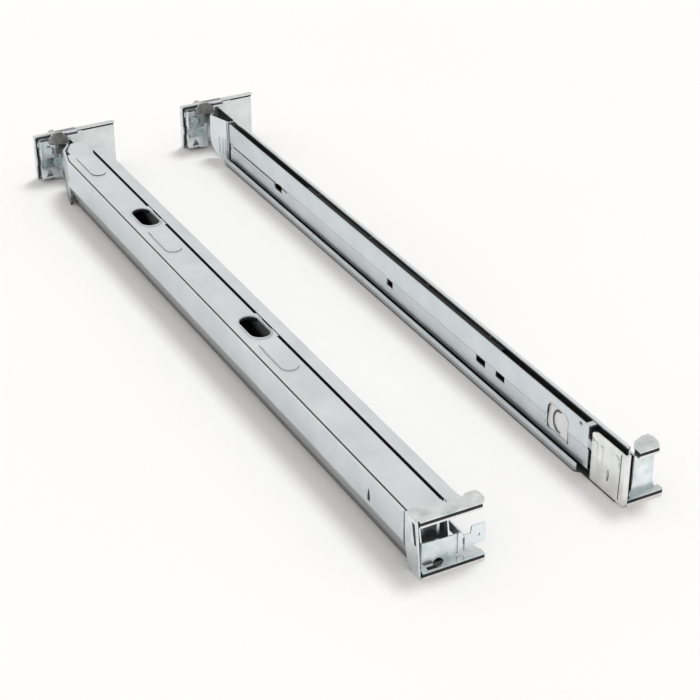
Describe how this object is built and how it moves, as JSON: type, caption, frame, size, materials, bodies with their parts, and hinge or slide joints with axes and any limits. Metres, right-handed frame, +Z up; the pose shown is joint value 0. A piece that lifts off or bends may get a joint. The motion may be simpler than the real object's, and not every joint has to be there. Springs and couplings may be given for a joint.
{
  "type": "sliding server rail pair",
  "caption": "Pair of zinc-plated telescoping rack rails with ball slides, sprung latches and rear plates on sliding arms, for a one-unit server.",
  "frame": {"origin": "centre of the pair's footprint, on the surface the rails rest on", "axes": "+X across the pair from the left rail to the right one, +Y towards the rack's rear, +Z up"},
  "size_m": [0.2294, 0.731, 0.048],
  "materials": {
    "zinc_sheet": "bright zinc plate, softly mottled",
    "black_coat": "matt black coating",
    "black_rubber": "matt",
    "cage_plastic": "matt",
    "ball_steel": "polished",
    "spring_steel": "satin",
    "turned_steel": "satin zinc plate"
  },
  "bodies": {
    "rack_side": {"left_side_panel": "zinc_sheet", "left_panel_spacers": "zinc_sheet", "left_channel": "zinc_sheet", "left_outer_member": "zinc_sheet", "left_spacer_studs": "turned_steel", "left_stop_bumper": "black_rubber", "left_front_bracket": "zinc_sheet", "left_lip_strips": "black_rubber", "left_front_latch_pin": "turned_steel", "right_channel": "zinc_sheet", "right_outer_member": "zinc_sheet", "right_spacer_studs": "turned_steel", "right_stop_bumper": "black_rubber", "right_front_bracket": "zinc_sheet", "right_lip_strips": "black_rubber", "right_front_latch_pin": "turned_steel", "right_rear_guide": "zinc_sheet"},
    "left_middle": {"left_middle_member": "black_coat"},
    "left_inner": {"left_inner_member": "zinc_sheet", "left_front_tab": "zinc_sheet"},
    "left_outer_bearing": {"left_outer_cage": "cage_plastic", "left_outer_balls": "ball_steel"},
    "left_inner_bearing": {"left_inner_cage": "cage_plastic", "left_inner_balls": "ball_steel"},
    "left_rear_extension": {"left_rear_plate": "zinc_sheet", "left_rear_liner": "zinc_sheet", "left_rear_pegs": "turned_steel", "left_rear_arm": "black_coat", "left_latch_housing": "zinc_sheet", "left_rear_latch_pin": "turned_steel"},
    "left_rear_lever": {"left_rear_latch": "zinc_sheet", "left_rear_latch_spring": "spring_steel"},
    "left_front_hook": {"left_front_latch": "zinc_sheet", "left_front_latch_spring": "spring_steel"},
    "right_middle": {"right_middle_member": "black_coat"},
    "right_inner": {"right_inner_member": "zinc_sheet", "right_front_handle": "zinc_sheet"},
    "right_outer_bearing": {"right_outer_cage": "cage_plastic", "right_outer_balls": "ball_steel"},
    "right_inner_bearing": {"right_inner_cage": "cage_plastic", "right_inner_balls": "ball_steel"},
    "right_rear_extension": {"right_rear_plate": "zinc_sheet", "right_rear_liner": "zinc_sheet", "right_rear_pegs": "turned_steel", "right_rear_arm": "black_coat", "right_latch_housing": "zinc_sheet", "right_rear_latch_pin": "turned_steel"},
    "right_rear_lever": {"right_rear_latch": "zinc_sheet", "right_rear_latch_spring": "spring_steel"},
    "right_front_hook": {"right_front_latch": "zinc_sheet", "right_front_latch_spring": "spring_steel"}
  },
  "joints": [
    {"name": "left_middle_slide", "type": "slide", "parent": "rack_side", "child": "left_middle", "axis": [0, -1, 0], "range_m": [0, 0.3]},
    {"name": "left_inner_slide", "type": "slide", "parent": "left_middle", "child": "left_inner", "axis": [0, -1, 0], "range_m": [0, 0.3]},
    {"name": "left_outer_bearing_slide", "type": "slide", "parent": "rack_side", "child": "left_outer_bearing", "axis": [0, -1, 0], "range_m": [0, 0.15]},
    {"name": "left_inner_bearing_slide", "type": "slide", "parent": "left_middle", "child": "left_inner_bearing", "axis": [0, -1, 0], "range_m": [0, 0.15]},
    {"name": "left_rear_slide", "type": "slide", "parent": "rack_side", "child": "left_rear_extension", "axis": [0, 1, 0], "range_m": [0, 0.12]},
    {"name": "left_rear_latch_pivot", "type": "hinge", "parent": "left_rear_extension", "child": "left_rear_lever", "pos_m": [-0.09475, 0.3493, 0.037], "axis": [1, 0, 0], "range_deg": [0, 20], "stiffness_Nm_per_rad": 0.02, "springref_deg": -20.05},
    {"name": "left_front_latch_pivot", "type": "hinge", "parent": "rack_side", "child": "left_front_hook", "pos_m": [-0.09525, -0.3474, 0.02], "axis": [0, 0, 1], "range_deg": [0, 18], "stiffness_Nm_per_rad": 0.02, "springref_deg": -20.05},
    {"name": "right_middle_slide", "type": "slide", "parent": "rack_side", "child": "right_middle", "axis": [0, -1, 0], "range_m": [0, 0.3]},
    {"name": "right_inner_slide", "type": "slide", "parent": "right_middle", "child": "right_inner", "axis": [0, -1, 0], "range_m": [0, 0.3]},
    {"name": "right_outer_bearing_slide", "type": "slide", "parent": "rack_side", "child": "right_outer_bearing", "axis": [0, -1, 0], "range_m": [0, 0.15]},
    {"name": "right_inner_bearing_slide", "type": "slide", "parent": "right_middle", "child": "right_inner_bearing", "axis": [0, -1, 0], "range_m": [0, 0.15]},
    {"name": "right_rear_slide", "type": "slide", "parent": "rack_side", "child": "right_rear_extension", "axis": [0, 1, 0], "range_m": [0, 0.12]},
    {"name": "right_rear_latch_pivot", "type": "hinge", "parent": "right_rear_extension", "child": "right_rear_lever", "pos_m": [0.05775, 0.3493, 0.037], "axis": [1, 0, 0], "range_deg": [0, 20], "stiffness_Nm_per_rad": 0.02, "springref_deg": -20.05},
    {"name": "right_front_latch_pivot", "type": "hinge", "parent": "rack_side", "child": "right_front_hook", "pos_m": [0.09165, -0.3462, 0.02], "axis": [0, 0, 1], "range_deg": [-18, 0], "stiffness_Nm_per_rad": 0.02, "springref_deg": 20.05}
  ],
  "couplings": [
    {"joint": "left_outer_bearing_slide", "follows": "left_middle_slide", "ratio": 0.5},
    {"joint": "left_inner_bearing_slide", "follows": "left_inner_slide", "ratio": 0.5},
    {"joint": "right_outer_bearing_slide", "follows": "right_middle_slide", "ratio": 0.5},
    {"joint": "right_inner_bearing_slide", "follows": "right_inner_slide", "ratio": 0.5}
  ]
}
